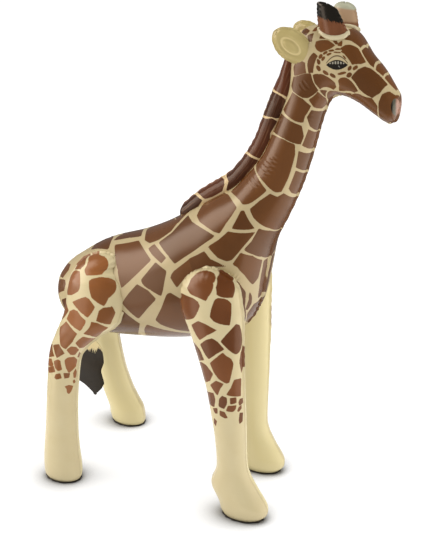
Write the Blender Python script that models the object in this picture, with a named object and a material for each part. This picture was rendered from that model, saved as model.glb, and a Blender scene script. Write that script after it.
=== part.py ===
"""Inflatable standing giraffe, welded from printed vinyl film and blown up with air.

The trunk, neck and head are one long bladder. The mane, the four legs, the two horns and the two
ears are smaller bladders welded on to it. Each foot is closed by its own flat sole, and the tail
is a flat strip of film. The giraffe looks along +X and stands on the floor at Z = 0.

Free forms are drawn in units of a fixed share of the giraffe's height, so they keep their
proportions. Thicknesses and clearances are real sizes in metres.
"""

import math

import bmesh
import bpy
import numpy as np
from mathutils import Vector

# Driving sizes, in metres
HEIGHT = 0.91
SOLE_THICKNESS = 0.003
SOLE_RIM = 0.0015
TAIL_THICKNESS = 0.0016
SEAM_GAP = 0.0003

# The body grows by a little more than the gap before it cuts, because flat facets cut corners
SEAT_ALLOWANCE = 1.2

# Free forms are drawn with the horn tips this many units above the floor
DRAWN_HEIGHT = 990
UNIT = HEIGHT / DRAWN_HEIGHT

# Mesh fineness: sides of each kind of tube, and rings laid between two drawn stations
BODY_SIDES = 24
LEG_SIDES = 18
SMALL_SIDES = 14
RINGS_PER_STATION = 2
DOME_RINGS = 3

# Body stations from rump to muzzle, each a slice across the bladder in the giraffe's mid plane:
# (lower or front point x, z), (upper or back point x, z), half width, boxiness of the slice
BODY_STATIONS = (
    ((-373, 358), (-378, 416), 38, 2.0),
    ((-358, 326), (-363, 437), 66, 2.0),
    ((-322, 302), (-328, 463), 87, 2.0),
    ((-264, 297), (-272, 497), 99, 2.0),
    ((-187, 304), (-200, 522), 105, 2.0),
    ((-110, 315), (-141, 549), 110, 2.0),
    ((-38, 333), (-98, 575), 110, 2.0),
    ((26, 359), (-64, 597), 105, 2.0),
    ((60, 409), (-31, 619), 97, 2.0),
    ((73, 473), (9, 643), 84, 2.0),
    ((87, 538), (37, 673), 68, 2.0),
    ((117, 602), (64, 709), 56, 2.0),
    ((143, 666), (83, 750), 49, 2.0),
    ((162, 731), (101, 796), 44, 2.0),
    ((176, 786), (114, 840), 41, 2.0),
    ((188, 818), (117, 880), 41, 2.1),
    ((198, 827), (122, 920), 43, 2.1),
    ((209, 831), (148, 946), 45, 2.2),
    ((225, 829), (196, 946), 46, 2.3),
    ((247, 820), (231, 942), 43, 2.3),
    ((266, 808), (258, 908), 38, 2.2),
    ((283, 797), (282, 884), 33, 2.2),
    ((297, 790), (299, 861), 30, 2.1),
    ((306, 793), (310, 846), 25, 2.0),
)
RUMP_POLE = (-386, 389)
MUZZLE_POLE = (315, 816)

# Mane rows from the withers to the ears: the number of the body station that each rides on, and
# how far it stands above the back line and sinks below it, and its half width
MANE_STATION_NUMBERS = (6, 7, 8.5, 10, 11.5, 13, 14, 15.4)
MANE_ROWS = (
    (17, 14, 19),
    (23, 16, 22),
    (25, 16, 22),
    (31, 16, 22),
    (36, 16, 22),
    (34, 17, 23),
    (26, 20, 27),
    (12, 18, 23),
)
MANE_RINGS_PER_ROW = 2
MANE_END_LENGTH = 12

# Leg rows from the sole up: height, rear edge x, front edge x, half thickness across the leg
FRONT_LEG_ROWS = (
    (4, 24, 108, 27),
    (12, 19, 116, 31),
    (27, 15, 117, 33),
    (42, 7, 108, 33),
    (56, -1, 98, 32),
    (70, -1, 89, 31),
    (88, 7, 79, 30),
    (112, 12, 73, 29),
    (168, 9, 72, 30),
    (212, 3, 72, 31),
    (265, -5, 71, 33),
    (312, -17, 71, 35),
    (376, -38, 70, 37),
    (424, -57, 70, 38),
    (458, -56, 65, 36),
)
FRONT_LEG_TOP = (6, 509)
REAR_LEG_ROWS = (
    (4, -364, -288, 28),
    (12, -367, -285, 33),
    (33, -368, -286, 35),
    (66, -367, -290, 33),
    (110, -363, -293, 31),
    (165, -359, -293, 31),
    (220, -355, -290, 32),
    (267, -352, -285, 34),
    (297, -346, -269, 36),
    (328, -333, -238, 38),
    (357, -321, -200, 39),
    (384, -315, -188, 39),
    (415, -312, -183, 38),
    (440, -307, -191, 36),
    (464, -296, -213, 30),
)
REAR_LEG_TOP = (-240, 490)

# How each leg stands: height, shift in x, distance of the leg's middle from the mid plane
FRONT_RIGHT_POSE = ((0, 8, 100), (60, 7, 97), (300, 0, 97), (530, 0, 101))
FRONT_LEFT_POSE = ((0, -35, 84), (66, -34, 88), (300, -31, 98), (530, -30, 101))
REAR_RIGHT_POSE = ((0, 0, 130), (200, 0, 120), (380, 0, 102), (440, 0, 92), (480, 0, 74), (510, 0, 58))
REAR_LEFT_POSE = (
    (0, 0, 142),
    (40, -4, 142),
    (80, -23, 142),
    (130, -37, 138),
    (215, -51, 128),
    (330, -38, 110),
    (380, -25, 97),
    (440, -12, 79),
    (470, -9, 54),
    (490, -7, 32),
)

# Horns: foot of the centre line as x and distance from the mid plane, and how deep it sits under
# the crown. Each soft horn leans its own way from foot to tip, and its tip slopes down to the front.
# Half sizes along and across follow for both ends.
HORN_FOOT = (202, 18)
HORN_SINK = 20
HORN_LEAN = {"right": (-11, 16, 56), "left": (-4, 15, 50)}
HORN_TIP_SLOPE = {"right": 0.3, "left": 0.08}
HORN_FOOT_SIZE = (26, 15)
HORN_TIP_SIZE = (18, 7)
HORN_TIP_CAP = 8
HORN_RINGS = 6
CROWN_STATIONS = 8

# Ears: the number of the body station where the leaf is rooted, the root's shares of that slice up
# and out from its middle, and the way from root to tip as x, side, up. Then the leaf's half width
# and half thickness. A skew over 1 puts its widest place past the middle, and a bluntness under 1
# rounds both ends.
EAR_STATION_NUMBER = 16.66
EAR_ROOT_SHARES = (0.1, 0.76)
EAR_REACH = (-69, 13, 49)
EAR_HALF_WIDTH = 26
EAR_HALF_THICKNESS = 10
EAR_SKEW = 1.2
EAR_BLUNTNESS = 0.55
EAR_RINGS = 9

# Tail outline in the mid plane, from the rump seam down one side, round the tuft and back up
TAIL_OUTLINE = (
    (-366, 372),
    (-366, 330),
    (-356, 290),
    (-340, 258),
    (-314, 258),
    (-302, 234),
    (-301, 211),
    (-306, 191),
    (-300, 163),
    (-324, 130),
    (-366, 157),
    (-374, 205),
    (-366, 250),
    (-376, 290),
    (-385, 330),
    (-386, 360),
    (-380, 385),
)


def units(*values):
    """Drawing units as metres."""
    return Vector(values) * UNIT


def smooth_rows(rows, steps):
    """Rows of numbers with steps - 1 more rows laid between each two on a Catmull-Rom curve."""
    rows = np.array(rows, float)
    padded = np.vstack([2 * rows[0] - rows[1], rows, 2 * rows[-1] - rows[-2]])
    result = []
    for i in range(len(rows) - 1):
        a, b, c, d = padded[i:i + 4]
        for t in np.arange(steps) / steps:
            bend = 2 * b + (c - a) * t + (2 * a - 5 * b + 4 * c - d) * t**2 + (3 * b - a - 3 * c + d) * t**3
            result.append(bend / 2)
    result.append(rows[-1])
    return np.array(result)


def ring(centre, across, side, sides, boxiness=2.0):
    """A closed slice: points round centre, reaching along the vectors across and side."""
    points = []
    for i in range(sides):
        angle = 2 * math.pi * i / sides
        c, s = math.cos(angle), math.sin(angle)
        reach_c = math.copysign(abs(c) ** (2 / boxiness), c)
        reach_s = math.copysign(abs(s) ** (2 / boxiness), s)
        points.append(centre + across * reach_c + side * reach_s)
    return points


def dome(centre, pole, across, side, sides, boxiness=2.0):
    """Slices that round an end off, from just past the last full slice towards the pole."""
    slices = []
    for i in range(1, DOME_RINGS):
        angle = math.pi / 2 * i / DOME_RINGS
        middle = centre.lerp(pole, math.sin(angle))
        slices.append(ring(middle, across * math.cos(angle), side * math.cos(angle), sides, boxiness))
    return slices


def loft(name, slices, first_pole=None, last_pole=None):
    """One closed skin over the slices. A missing pole leaves that end as one flat face."""
    mesh = bpy.data.meshes.new(name)
    bm = bmesh.new()
    loops = [[bm.verts.new(point) for point in points] for points in slices]
    for near, far in zip(loops, loops[1:]):
        for i in range(len(near)):
            j = (i + 1) % len(near)
            bm.faces.new((near[i], near[j], far[j], far[i]))
    for loop, pole in ((loops[0], first_pole), (loops[-1], last_pole)):
        if pole is None:
            bm.faces.new(loop)
        else:
            tip = bm.verts.new(pole)
            for i in range(len(loop)):
                bm.faces.new((loop[i - 1], loop[i], tip))
    bmesh.ops.recalc_face_normals(bm, faces=bm.faces)
    bm.to_mesh(mesh)
    bm.free()
    mesh.shade_smooth()
    return mesh


def vinyl(name, color, roughness=0.28):
    """Glossy printed vinyl film."""
    material = bpy.data.materials.new(name)
    material.use_nodes = True
    shader = material.node_tree.nodes["Principled BSDF"]
    shader.inputs["Base Color"].default_value = (*color, 1)
    shader.inputs["Roughness"].default_value = roughness
    shader.inputs["Metallic"].default_value = 0.0
    return material


def add_piece(name, mesh, material, parent, origin=(0, 0, 0)):
    """A named object whose own origin lies at the given point of the giraffe."""
    origin = Vector(origin)
    for vertex in mesh.vertices:
        vertex.co -= origin
    mesh.materials.clear()
    mesh.materials.append(material)
    piece = bpy.data.objects.new(name, mesh)
    piece.location = origin
    piece.parent = parent
    giraffe.objects.link(piece)
    return piece


def body_row(number):
    """The body's drawn row at a station number, mixed from two rows where it isn't whole."""
    drawn = [(*front, *back, width, boxiness) for front, back, width, boxiness in BODY_STATIONS]
    return [np.interp(number, range(len(drawn)), column) for column in zip(*drawn)]


def body_slice(row):
    """Centre, half vector towards the back line, half vector to the side, and boxiness."""
    front = units(row[0], 0, row[1])
    back = units(row[2], 0, row[3])
    return (front + back) / 2, (back - front) / 2, units(0, row[4], 0), row[5]


def make_body():
    """Trunk, neck and head: one bladder with rounded ends."""
    drawn = [(*front, *back, width, boxiness) for front, back, width, boxiness in BODY_STATIONS]
    slices = []
    for row in smooth_rows(drawn, RINGS_PER_STATION):
        centre, across, side, boxiness = body_slice(row)
        slices.append(ring(centre, across, side, BODY_SIDES, boxiness))
    rump = units(RUMP_POLE[0], 0, RUMP_POLE[1])
    muzzle = units(MUZZLE_POLE[0], 0, MUZZLE_POLE[1])
    centre, across, side, boxiness = body_slice(drawn[0])
    rump_dome = dome(centre, rump, across, side, BODY_SIDES, boxiness)
    centre, across, side, boxiness = body_slice(drawn[-1])
    muzzle_dome = dome(centre, muzzle, across, side, BODY_SIDES, boxiness)
    return loft("body", rump_dome[::-1] + slices + muzzle_dome, rump, muzzle)


def make_mane():
    """A tube along the back line, sunk into the neck, round at both ends."""
    rows = [(number, *row) for number, row in zip(MANE_STATION_NUMBERS, MANE_ROWS)]
    slices = []
    for number, rise, sink, width in smooth_rows(rows, MANE_RINGS_PER_ROW):
        centre, across, _, _ = body_slice(body_row(number))
        outward = across.normalized()
        middle = centre + across + outward * (rise - sink) / 2 * UNIT
        slices.append((middle, outward * (rise + sink) / 2 * UNIT, units(0, width, 0)))
    rings = [ring(*piece, SMALL_SIDES) for piece in slices]
    poles = []
    domes = []
    for end, inner in ((slices[0], slices[1]), (slices[-1], slices[-2])):
        pole = end[0] + (end[0] - inner[0]).normalized() * MANE_END_LENGTH * UNIT
        poles.append(pole)
        domes.append(dome(end[0], pole, *end[1:], SMALL_SIDES))
    return loft("mane", domes[0][::-1] + rings + domes[1], *poles)


def pose_at(pose, height):
    """Shift in x and distance from the mid plane at a height."""
    heights, shifts, offsets = zip(*pose)
    return np.interp(height, heights, shifts), np.interp(height, heights, offsets)


def leg_slice(row, hand, pose):
    """Centre, fore-and-aft half vector and sideways half vector of one level slice of a leg."""
    height, rear, front, thickness = row
    shift, offset = pose_at(pose, height)
    centre = units((rear + front) / 2 + shift, hand * offset, height)
    return centre, units((front - rear) / 2, 0, 0), units(0, thickness, 0)


def make_leg(name, drawn, top, hand, pose):
    """One leg bladder: flat under the foot, domed at the top. Also gives its lowest slice."""
    rows = smooth_rows(drawn, RINGS_PER_STATION)
    rows[0][0] = (SOLE_THICKNESS + SEAM_GAP) / UNIT
    slices = [leg_slice(row, hand, pose) for row in rows]
    shift, offset = pose_at(pose, top[1])
    pole = units(top[0] + shift, hand * offset, top[1])
    rings = [ring(*piece, LEG_SIDES) for piece in slices]
    rings += dome(slices[-1][0], pole, *slices[-1][1:], LEG_SIDES)
    return loft(name, rings, None, pole), slices[0]


def make_sole(name, foot):
    """A flat disc of film under the foot, with a thin welded rim round it."""
    centre, across, side = foot
    rim = 1 + SOLE_RIM / across.length, 1 + SOLE_RIM / side.length
    bottom = Vector((centre.x, centre.y, 0))
    slices = []
    for height in (0, SOLE_THICKNESS):
        slices.append(ring(bottom + Vector((0, 0, height)), across * rim[0], side * rim[1], LEG_SIDES * 2))
    mesh = loft(name, slices)
    mesh.set_sharp_from_angle(angle=math.radians(40))
    return mesh


def crown_height(x):
    """Height of the top of the head over a place between the ears and the muzzle."""
    backs = [back for _, back, _, _ in BODY_STATIONS[-CROWN_STATIONS:]]
    return np.interp(x, *zip(*backs))


def make_horn(name, hand, lean, tip_slope):
    """A short tube from an oval foot to a flat sealed tip."""
    foot = units(HORN_FOOT[0], hand * HORN_FOOT[1], crown_height(HORN_FOOT[0]) - HORN_SINK)
    tip = foot + units(lean[0], hand * lean[1], lean[2])
    slices = []
    for i in range(HORN_RINGS + 1):
        share = i / HORN_RINGS
        along = HORN_FOOT_SIZE[0] + (HORN_TIP_SIZE[0] - HORN_FOOT_SIZE[0]) * share**2
        over = HORN_FOOT_SIZE[1] + (HORN_TIP_SIZE[1] - HORN_FOOT_SIZE[1]) * share**2
        slope = -along * tip_slope * share
        slices.append((foot.lerp(tip, share), units(along, 0, slope), units(0, over, 0)))
    pole = tip + (tip - foot).normalized() * HORN_TIP_CAP * UNIT
    rings = [ring(*piece, SMALL_SIDES) for piece in slices]
    return loft(name, rings + dome(tip, pole, *slices[-1][1:], SMALL_SIDES), None, pole)


def make_ear(name, hand):
    """A flat inflated leaf, widest past its middle, that points back and up."""
    centre, up, out, _ = body_slice(body_row(EAR_STATION_NUMBER))
    root = centre + up * EAR_ROOT_SHARES[0] + out * EAR_ROOT_SHARES[1] * hand
    tip = root + units(EAR_REACH[0], hand * EAR_REACH[1], EAR_REACH[2])
    length = (tip - root).length
    along = (tip - root) / length
    outward = Vector((0, hand, 0))
    flat = (outward - along * outward.dot(along)).normalized()
    wide = along.cross(flat)
    slices = []
    for i in range(1, EAR_RINGS):
        share = i / EAR_RINGS
        swell = UNIT * math.sin(math.pi * share**EAR_SKEW) ** EAR_BLUNTNESS
        middle = root + along * length * share
        across, side = wide * EAR_HALF_WIDTH * swell, flat * EAR_HALF_THICKNESS * swell
        slices.append(ring(middle, across, side, SMALL_SIDES))
    return loft(name, slices, root, tip)


def make_tail():
    """A flat strip of film welded into the rump seam, with a wide tuft at its end."""
    mesh = bpy.data.meshes.new("tail")
    bm = bmesh.new()
    half = Vector((0, TAIL_THICKNESS / 2, 0))
    near_side = [bm.verts.new(units(x, 0, z) - half) for x, z in TAIL_OUTLINE]
    face = bm.faces.new(near_side)
    grown = bmesh.ops.extrude_face_region(bm, geom=[face])["geom"]
    bmesh.ops.translate(bm, vec=2 * half, verts=[v for v in grown if isinstance(v, bmesh.types.BMVert)])
    bmesh.ops.recalc_face_normals(bm, faces=bm.faces)
    bm.to_mesh(mesh)
    bm.free()
    return mesh


def make_cutter(mesh):
    """The body grown by the seam gap, to seat the welded pieces against it."""
    grown = mesh.copy()
    grown.name = "body_clearance"
    bm = bmesh.new()
    bm.from_mesh(grown)
    bm.normal_update()
    for vertex in bm.verts:
        vertex.co += vertex.normal * SEAM_GAP * SEAT_ALLOWANCE
    bm.to_mesh(grown)
    bm.free()
    cutter = bpy.data.objects.new("body_clearance", grown)
    cutter.hide_render = True
    cutter.display_type = "WIRE"
    cutter.parent = root
    cutters.objects.link(cutter)
    return cutter


def seat_on_body(piece):
    """Cut the piece where the body's skin lies."""
    cut = piece.modifiers.new("seat", "BOOLEAN")
    cut.operation = "DIFFERENCE"
    cut.solver = "EXACT"
    cut.object = body_cutter


for old in list(bpy.data.objects):
    bpy.data.objects.remove(old)

giraffe = bpy.data.collections.new("inflatable_giraffe")
cutters = bpy.data.collections.new("cutters")
for collection in (giraffe, cutters):
    bpy.context.scene.collection.children.link(collection)
root = bpy.data.objects.new("giraffe_root", None)
giraffe.objects.link(root)

coat = vinyl("coat_vinyl", (0.16, 0.06, 0.025))
mane_brown = vinyl("mane_vinyl", (0.06, 0.02, 0.01), 0.2)
leg_cream = vinyl("leg_vinyl", (0.62, 0.5, 0.28))
ear_cream = vinyl("ear_vinyl", (0.6, 0.5, 0.22))
horn_brown = vinyl("horn_vinyl", (0.12, 0.05, 0.03))
black = vinyl("black_vinyl", (0.02, 0.02, 0.02), 0.4)

body_mesh = make_body()
body_cutter = make_cutter(body_mesh)
add_piece("body", body_mesh, coat, root)
seat_on_body(add_piece("mane", make_mane(), mane_brown, root))
for place, rows, top, hand, pose in (
    ("front_right", FRONT_LEG_ROWS, FRONT_LEG_TOP, -1, FRONT_RIGHT_POSE),
    ("front_left", FRONT_LEG_ROWS, FRONT_LEG_TOP, 1, FRONT_LEFT_POSE),
    ("rear_right", REAR_LEG_ROWS, REAR_LEG_TOP, -1, REAR_RIGHT_POSE),
    ("rear_left", REAR_LEG_ROWS, REAR_LEG_TOP, 1, REAR_LEFT_POSE),
):
    leg_mesh, foot = make_leg("leg_" + place, rows, top, hand, pose)
    under_foot = (foot[0].x, foot[0].y, 0)
    seat_on_body(add_piece("leg_" + place, leg_mesh, leg_cream, root, under_foot))
    add_piece("sole_" + place, make_sole("sole_" + place, foot), black, root, under_foot)
for hand, side_name in ((-1, "right"), (1, "left")):
    horn_mesh = make_horn("horn_" + side_name, hand, HORN_LEAN[side_name], HORN_TIP_SLOPE[side_name])
    seat_on_body(add_piece("horn_" + side_name, horn_mesh, horn_brown, root))
    seat_on_body(add_piece("ear_" + side_name, make_ear("ear_" + side_name, hand), ear_cream, root))
seat_on_body(add_piece("tail", make_tail(), black, root))

# The origin is the middle of the giraffe's footprint, on the floor
bpy.context.view_layer.update()
corners = []
for piece in giraffe.objects:
    if piece.type == "MESH":
        corners += [piece.matrix_world @ Vector(corner) for corner in piece.bound_box]
low = [min(corner[k] for corner in corners) for k in range(2)]
high = [max(corner[k] for corner in corners) for k in range(2)]
root.location = (-(low[0] + high[0]) / 2, -(low[1] + high[1]) / 2, 0)
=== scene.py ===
"""Inflatable giraffe: bladders of glossy printed vinyl, welded together, on a white studio floor."""

import math

import bmesh
import bpy
import numpy as np
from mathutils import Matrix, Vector
from mathutils.bvhtree import BVHTree
from mathutils.kdtree import KDTree


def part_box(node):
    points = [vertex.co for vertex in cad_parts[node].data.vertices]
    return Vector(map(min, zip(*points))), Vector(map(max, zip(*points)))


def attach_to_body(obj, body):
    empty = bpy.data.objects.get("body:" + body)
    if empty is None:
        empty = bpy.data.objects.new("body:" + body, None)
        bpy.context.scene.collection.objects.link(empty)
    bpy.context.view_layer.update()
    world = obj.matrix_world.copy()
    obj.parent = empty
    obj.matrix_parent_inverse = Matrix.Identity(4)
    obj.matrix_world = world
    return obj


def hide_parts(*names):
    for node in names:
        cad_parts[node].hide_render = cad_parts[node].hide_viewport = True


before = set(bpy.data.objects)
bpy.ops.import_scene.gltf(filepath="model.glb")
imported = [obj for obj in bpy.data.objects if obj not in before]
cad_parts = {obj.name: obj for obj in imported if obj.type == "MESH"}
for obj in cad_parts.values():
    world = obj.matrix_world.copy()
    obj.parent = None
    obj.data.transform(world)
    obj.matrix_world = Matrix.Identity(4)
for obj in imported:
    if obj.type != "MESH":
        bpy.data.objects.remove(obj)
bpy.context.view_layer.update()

# Studio. The picture is taken from the giraffe's right front, a little above it, in a white tent.
# The camera comes first, because the printed coat is placed by pixels of its picture.
PICTURE_SIZE = (435, 537)
LENS_PIXELS = 1125.8
FILM_SIZE = 36.0
CAMERA_PLACE = Vector((0.8385, -1.6991, 1.1313))
CAMERA_AIM = Vector((0.0415, -0.0649, 0.4545))
PIXEL_ON_COAT = (CAMERA_PLACE - CAMERA_AIM).length / LENS_PIXELS
WARM_LIGHT = (1.0, 0.96, 0.90)
WARM_GLOSS = (1.0, 0.82, 0.68, 1)
FLOOR_RADIUS, NEAR_PAPER_RADIUS = 14.0, 0.65
# The paper glows with painted light that rises with distance; its contact shade is painted shadow in that glow.
PAPER_SHADES, PAPER_GLOW, GLOW_RISE = (0.33, 0.35), (0.84, 0.97), (0.6, 2.0)
CONTACT_SHADE, SHADE_EDGE = 0.09, (0.45, 1.0)
LAMPS_AIM, TENT_LIGHT = Vector((0, 0, 0.5)), 0.25
# Name, place, width and height, power, whether the gloss shows it
LAMPS = (
    ("left_softbox", (-2.17, -0.92, 1.6), (1.8, 3.0), 72, True),
    ("left_card", (-1.42, -1.63, -0.05), (0.9, 1.6), 8, True),
    ("right_card", (1.3, 0.42, 0.05), (2.1, 1.3), 13, True),
    ("right_softbox", (2.4, -0.6, 0.9), (1.4, 2.0), 24, False),
    ("top_softbox", (0.7, 0.7, 3.2), (1.8, 1.8), 54, False),
    ("front_fill", (0.5, -3.1, 1.0), (2.6, 1.8), 10, False),
)

scene = bpy.context.scene
camera = bpy.data.objects.new("studio_camera", bpy.data.cameras.new("studio_camera"))
scene.collection.objects.link(camera)
camera.location = CAMERA_PLACE
camera.rotation_euler = (CAMERA_AIM - CAMERA_PLACE).to_track_quat("-Z", "Y").to_euler()
camera.data.sensor_fit = "VERTICAL"
camera.data.sensor_height = FILM_SIZE
camera.data.lens = LENS_PIXELS * FILM_SIZE / PICTURE_SIZE[1]
scene.camera = camera


def in_picture(points):
    """Where points of the scene fall in the picture, in pixels from its top left corner."""
    axes = np.array(camera.rotation_euler.to_matrix())
    local = (points - np.array(CAMERA_PLACE)) @ axes
    across = PICTURE_SIZE[0] / 2 - LENS_PIXELS * local[..., 0] / local[..., 2]
    down = PICTURE_SIZE[1] / 2 + LENS_PIXELS * local[..., 1] / local[..., 2]
    return np.stack([across, down], -1)


def grey(value):
    """A grey as the light values that a shader takes."""
    return (value, value, value, 1)


def srgb(red, green, blue):
    """A colour as seen on a screen, 0 to 255, as the light values that a shader takes."""
    return (*(((c / 255 + 0.055) / 1.055) ** 2.4 if c > 10 else c / 3295 for c in (red, green, blue)), 1)


class Ink:
    """One value in a material. Sums and products of values add the Math nodes that work them out."""

    def __init__(self, mixer, socket):
        self.mixer, self.socket = mixer, socket

    def math(self, operation, *values):
        return self.mixer.node("ShaderNodeMath", {"operation": operation}, values)

    def __add__(self, other):
        return self.math("ADD", self, other)

    def __sub__(self, other):
        return self.math("SUBTRACT", self, other)

    def __rsub__(self, other):
        return self.math("SUBTRACT", other, self)

    def __mul__(self, other):
        return self.math("MULTIPLY", self, other)

    def __truediv__(self, other):
        return self.math("DIVIDE", self, other)

    def __pow__(self, other):
        return self.math("POWER", self, other)

    def size(self):
        return self.math("ABSOLUTE", self)

    def wave(self):
        return self.math("SINE", self)

    def least(self, other):
        return self.math("MINIMUM", self, other)

    def most(self, other):
        return self.math("MAXIMUM", self, other)

    __radd__ = __add__
    __rmul__ = __mul__


class Mixer:
    """A material with a Principled shader. Each call of node adds one node and gives its output."""

    def __init__(self, name, roughness=0.3):
        self.material = bpy.data.materials.new(name)
        self.material.use_nodes = True
        self.tree = self.material.node_tree
        self.shader = self.tree.nodes["Principled BSDF"]
        self.shader.inputs["Roughness"].default_value = roughness
        self.shader.inputs["Specular Tint"].default_value = WARM_GLOSS
        self.coordinates = self.node("ShaderNodeTexCoord", {}, (), "Object")

    def feed(self, socket, value):
        if isinstance(value, Ink):
            self.tree.links.new(value.socket, socket)
        else:
            socket.default_value = value

    def node(self, kind, settings, values, output=0):
        made = self.tree.nodes.new(kind)
        for key, value in settings.items():
            setattr(made, key, value)
        for key, value in values.items() if isinstance(values, dict) else enumerate(values):
            self.feed(made.inputs[key], value)
        return Ink(self, made.outputs[output])

    def attribute(self, name, output="Fac"):
        return self.node("ShaderNodeAttribute", {"attribute_name": name}, (), output)

    def split(self, vector):
        parts = vector.socket.node.id_data.nodes.new("ShaderNodeSeparateXYZ")
        self.feed(parts.inputs[0], vector)
        return [Ink(self, parts.outputs[k]) for k in range(3)]

    def noise(self, scale, detail=2.0, roughness=0.5, vector=None):
        values = {"Vector": vector or self.coordinates, "Scale": scale, "Detail": detail, "Roughness": roughness}
        return self.node("ShaderNodeTexNoise", {}, values)

    def step(self, value, low, high):
        """0 below low, 1 above high, and smooth between."""
        values = {"Value": value, "From Min": low, "From Max": high}
        return self.node("ShaderNodeMapRange", {"interpolation_type": "SMOOTHSTEP"}, values)

    def blend(self, share, first, second):
        """A colour that goes from first to second with share."""
        values = {0: share, 6: first, 7: second}
        return self.node("ShaderNodeMix", {"data_type": "RGBA"}, values, 2)

    def finish(self, color, roughness=None, bump=None, strength=0.2, depth=0.001):
        """Links what changes over the surface and gives the material."""
        self.feed(self.shader.inputs["Base Color"], color)
        if roughness is not None:
            self.feed(self.shader.inputs["Roughness"], roughness)
        if bump is not None:
            values = {"Strength": strength, "Distance": depth, "Height": bump}
            self.feed(self.shader.inputs["Normal"], self.node("ShaderNodeBump", {}, values))
        return self.material


def settle(name, bm):
    """Turns a finished bmesh into an object of the scene."""
    mesh = bpy.data.meshes.new(name)
    bm.to_mesh(mesh)
    bm.free()
    made = bpy.data.objects.new(name, mesh)
    scene.collection.objects.link(made)
    return made


def studio():
    """White paper floor whose glow is painted light, dimmer near the middle and darkened to painted contact shadows by
    the feet, and soft lights that leave long gloss streaks on the vinyl.
    """
    paper = Mixer("white_paper", 0.9)
    white = paper.blend(paper.noise(700, 3), *map(grey, PAPER_SHADES))
    # Painted contact shadows: the paper's glow fades to black where ambient occlusion is low.
    open_air = paper.node("ShaderNodeAmbientOcclusion", {}, {"Distance": CONTACT_SHADE}, "AO")
    distance = paper.node("ShaderNodeVectorMath", {"operation": "LENGTH"}, [paper.coordinates], 1)
    painted_glow = paper.blend(paper.step(distance, *GLOW_RISE), *map(grey, PAPER_GLOW))
    painted_glow = paper.blend(paper.step(open_air, *SHADE_EDGE), grey(0.0), painted_glow)
    paper.feed(paper.shader.inputs["Emission Color"], painted_glow)
    paper.feed(paper.shader.inputs["Emission Strength"], 1.0)
    paper.feed(paper.shader.inputs["Specular IOR Level"], 0.0)
    paper_material = paper.finish(white)
    for name, radius, in_gloss in (("near_paper", NEAR_PAPER_RADIUS, True), ("far_paper", FLOOR_RADIUS, False)):
        bm = bmesh.new()
        bmesh.ops.create_circle(bm, cap_ends=in_gloss, segments=96, radius=NEAR_PAPER_RADIUS)
        if not in_gloss:
            rim = bmesh.ops.extrude_edge_only(bm, edges=bm.edges[:])["geom"]
            outer = [item for item in rim if isinstance(item, bmesh.types.BMVert)]
            bmesh.ops.scale(bm, vec=(radius / NEAR_PAPER_RADIUS,) * 3, verts=outer)
            bmesh.ops.recalc_face_normals(bm, faces=bm.faces)
            if bm.faces[:][0].normal.z < 0:
                bmesh.ops.reverse_faces(bm, faces=bm.faces)
        floor = settle(name, bm)
        floor.data.materials.append(paper_material)
        floor.visible_glossy = in_gloss
    for name, place, size, power, in_gloss in LAMPS:
        lamp = bpy.data.lights.new(name, "AREA")
        lamp.shape = "RECTANGLE"
        lamp.size, lamp.size_y = size
        lamp.energy = power
        lamp.color = WARM_LIGHT if in_gloss else (1, 1, 1)
        holder = bpy.data.objects.new(name, lamp)
        holder.location = place
        holder.rotation_euler = (LAMPS_AIM - Vector(place)).to_track_quat("-Z", "Y").to_euler()
        holder.visible_camera = False
        holder.visible_glossy = in_gloss
        scene.collection.objects.link(holder)
    tent = bpy.data.worlds.new("white_tent")
    scene.world = tent
    tent.use_nodes = True
    backdrop = tent.node_tree.nodes["Background"]
    backdrop.inputs["Color"].default_value = grey(1)
    backdrop.inputs["Strength"].default_value = TENT_LIGHT
    scene.view_settings.view_transform = "Standard"


studio()

# Body. Trunk, neck and head are one bladder, welded from a left and a right panel of printed film,
# a gusset along the back and one over the nose. The front and belly weld stands up as a thin rim.
# The stations are the bladder's slices from rump to muzzle, in drawing units: lower or front point
# x, z, upper or back point x, z, half width, boxiness.
BODY_STATIONS = (
    (-373, 358, -378, 416, 38, 2.0), (-358, 326, -363, 437, 66, 2.0), (-322, 302, -328, 463, 87, 2.0),
    (-264, 297, -272, 497, 99, 2.0), (-187, 304, -200, 522, 105, 2.0), (-110, 315, -141, 549, 110, 2.0),
    (-38, 333, -98, 575, 110, 2.0), (26, 359, -64, 597, 105, 2.0), (60, 409, -31, 619, 97, 2.0),
    (73, 473, 9, 643, 84, 2.0), (87, 538, 37, 673, 68, 2.0), (117, 602, 64, 709, 56, 2.0),
    (143, 666, 83, 750, 49, 2.0), (162, 731, 101, 796, 44, 2.0), (176, 786, 114, 840, 41, 2.0),
    (188, 818, 117, 880, 41, 2.1), (198, 827, 122, 920, 43, 2.1), (209, 831, 148, 946, 45, 2.2),
    (225, 829, 196, 946, 46, 2.3), (247, 820, 231, 942, 43, 2.3), (266, 808, 258, 908, 38, 2.2),
    (283, 797, 282, 884, 33, 2.2), (297, 790, 299, 861, 30, 2.1), (306, 793, 310, 846, 25, 2.0),
)
RUMP_POLE, MUZZLE_POLE = (-386, 389), (315, 816)
BODY_COLUMNS = 200
BODY_ROWS = (24, 432, 24)
HEAD_PACKING = 0.18
SEAM_STEPS = (0.0006, 0.0012, 0.0022, 0.0038, 0.0062)
body_low, body_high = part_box("body")
UNIT = (body_high.x - body_low.x) / (MUZZLE_POLE[0] - RUMP_POLE[0])
MIDDLE = Vector((body_high.x - MUZZLE_POLE[0] * UNIT, (body_low.y + body_high.y) / 2, 0))

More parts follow.
